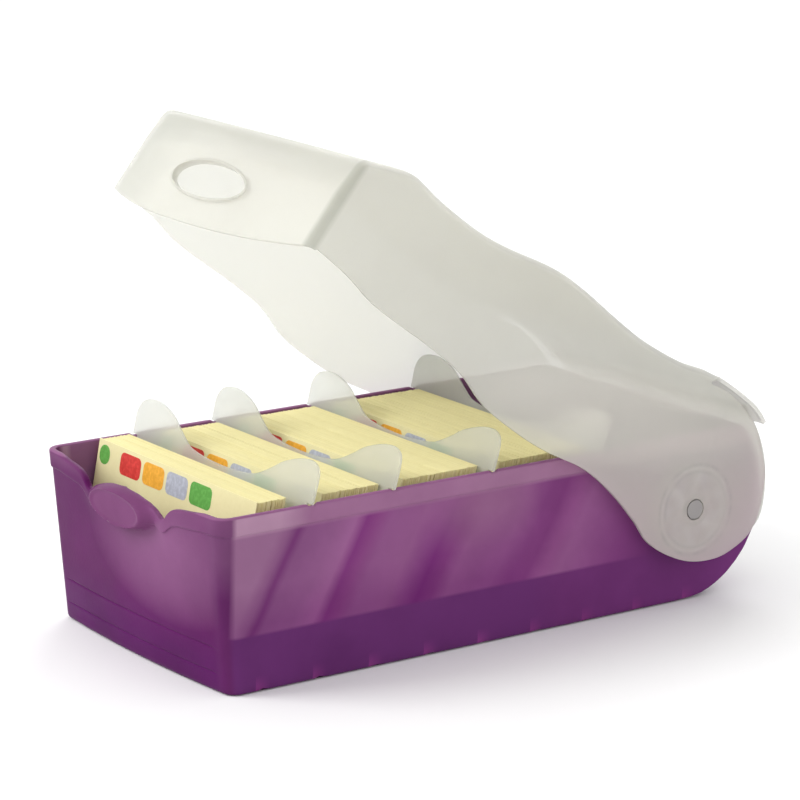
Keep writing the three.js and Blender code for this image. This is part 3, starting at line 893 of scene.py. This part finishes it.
def packet(node, number):
    corner, width, thick, height, lean = foot_of(node)
    rng = random.Random(number)
    count = max(1, round(thick / SHEET_PITCH))
    pitch = thick / count
    bm = bmesh.new()
    for i in range(count):
        at_y = corner + Vector((0.35 * MM, i * pitch * MM, 0.0001))
        card_sheet(bm, at_y, width - 0.7, pitch - 0.07, height - 0.5, lean, rng, 0.33)
    bmesh.ops.recalc_face_normals(bm, faces=bm.faces)
    name = f"{node}_sheets"
    obj = make_object(name, bm_to_mesh(bm, name), [CARD_MAT])
    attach(obj, f"{node}_body")
    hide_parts(node)


def mark(bm, corner, lean, x0, x1, v0, v1, slot, soft):
    """A flat printed patch with rounded corners, just proud of the card's front face."""
    loop = []
    for cx, cv, start in ((x1 - soft, v1 - soft, 0), (x0 + soft, v1 - soft, 90),
                          (x0 + soft, v0 + soft, 180), (x1 - soft, v0 + soft, 270)):
        for k in range(5):
            a = math.radians(start + 22.5 * k)
            loop.append((cx + soft * math.cos(a), cv + soft * math.sin(a)))
    front, back = [], []
    for x, v in loop:
        y, z = v * math.sin(lean), v * math.cos(lean)
        for store, off in ((front, -0.045), (back, 0.01)):
            spot_at = Vector((x, y + off * math.cos(lean), z - off * math.sin(lean)))
            store.append(bm.verts.new(corner + spot_at * MM))
    made = [bm.faces.new(front)]
    for i in range(len(loop)):
        j = (i + 1) % len(loop)
        made.append(bm.faces.new((front[i], back[i], back[j], front[j])))
    made.append(bm.faces.new(list(reversed(back))))
    for face in made:
        face.material_index = slot


def index_card(number):
    node = f"index_card_{number}"
    corner, width, thick, height, lean = foot_of(node)
    bm = bmesh.new()
    card_sheet(bm, corner + Vector((0, 0.06 * MM, 0)), width, thick - 0.1, height - 0.1, lean,
               random.Random(90 + number), 0.02)
    face, top = corner + Vector((0, 0.03 * MM, 0)), height - 1.6
    for i in range(len(INKS)):
        x0 = 16.0 + 15.8 * i
        mark(bm, face, lean, x0, x0 + 14.0, height - 9.6, top, i + 1, 2.2)
    mark(bm, face, lean, 1.4, 8.4, height - 8.6, top, len(INKS), 3.2)
    bmesh.ops.recalc_face_normals(bm, faces=bm.faces)
    name = f"{node}_printed"
    obj = make_object(name, bm_to_mesh(bm, name), [INDEX_MAT, *INKS])
    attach(obj, f"{node}_body")
    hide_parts(node)


def hubs():
    for side in ("right", "left"):
        obj = bpy.data.objects[f"hub_disc_{side}"]
        for slot in obj.material_slots:
            slot.material = HUB_MAT
        add_modifier(obj, "BEVEL", width=0.3 * MM, segments=2, limit_method="ANGLE",
                     angle_limit=math.radians(40))


tray()
lid()
for letter in PLATE_RIM:
    divider(letter)
for number, packets in ((1, 2), (2, 3), (3, 4), (4, 4)):
    index_card(number)
    for k in range(packets):
        packet(f"cards_{number}{'abcd'[k]}", 10 * number + k)
hubs()


# ------------------------------------------------------- floor, light, camera

def floor_material():
    material, tree, shader = nodes_of("studio_floor")
    tone = ramp(tree, noise(tree, 3.0), [(0.3, (0.90, 0.90, 0.90)), (0.7, (0.93, 0.93, 0.93))])
    tree.links.new(tone, shader.inputs["Base Color"])
    shader.inputs["Roughness"].default_value = 0.8
    return material


def stage():
    bm = bmesh.new()
    bmesh.ops.create_grid(bm, x_segments=8, y_segments=8, size=6.0)
    floor = make_object("floor", bm_to_mesh(bm, "floor"), [floor_material()])
    floor.location.z = -0.0002
    world = bpy.data.worlds.new("studio")
    world.use_nodes = True
    world.node_tree.nodes["Background"].inputs[0].default_value = (1.0, 1.0, 1.0, 1)
    world.node_tree.nodes["Background"].inputs[1].default_value = 0.9
    bpy.context.scene.world = world


def area_light(name, place, target, size, power, colour=(1, 1, 1)):
    data = bpy.data.lights.new(name, "AREA")
    data.size = size
    data.energy = power
    data.color = colour
    obj = bpy.data.objects.new(name, data)
    obj.location = place
    obj.rotation_euler = (Vector(target) - Vector(place)).to_track_quat("-Z", "Y").to_euler()
    bpy.context.scene.collection.objects.link(obj)


def camera():
    turn, lift, far = math.radians(55.27), math.radians(14.02), 1.6191
    aim = Vector((-0.2522, 0.1898 + SHIFT * MM, 0.0))
    flat = math.cos(lift)
    look = Vector((-math.sin(turn) * flat, math.cos(turn) * flat, -math.sin(lift)))
    data = bpy.data.cameras.new("view")
    data.sensor_width = 36
    data.lens = 162
    data.clip_end = 50
    obj = bpy.data.objects.new("view", data)
    obj.location = aim - look * far
    obj.rotation_euler = look.to_track_quat("-Z", "Y").to_euler()
    bpy.context.scene.collection.objects.link(obj)
    bpy.context.scene.camera = obj


stage()
area_light("key", (-0.7, -1.3, 1.1), (0, 0, 0.05), 0.9, 17)
area_light("rim", (-0.9, 0.9, 1.0), (0, 0, 0.05), 0.8, 7)
area_light("fill", (1.6, -0.4, 0.7), (0, 0, 0.08), 1.2, 3)
camera()
bpy.context.scene.view_settings.view_transform = "Standard"
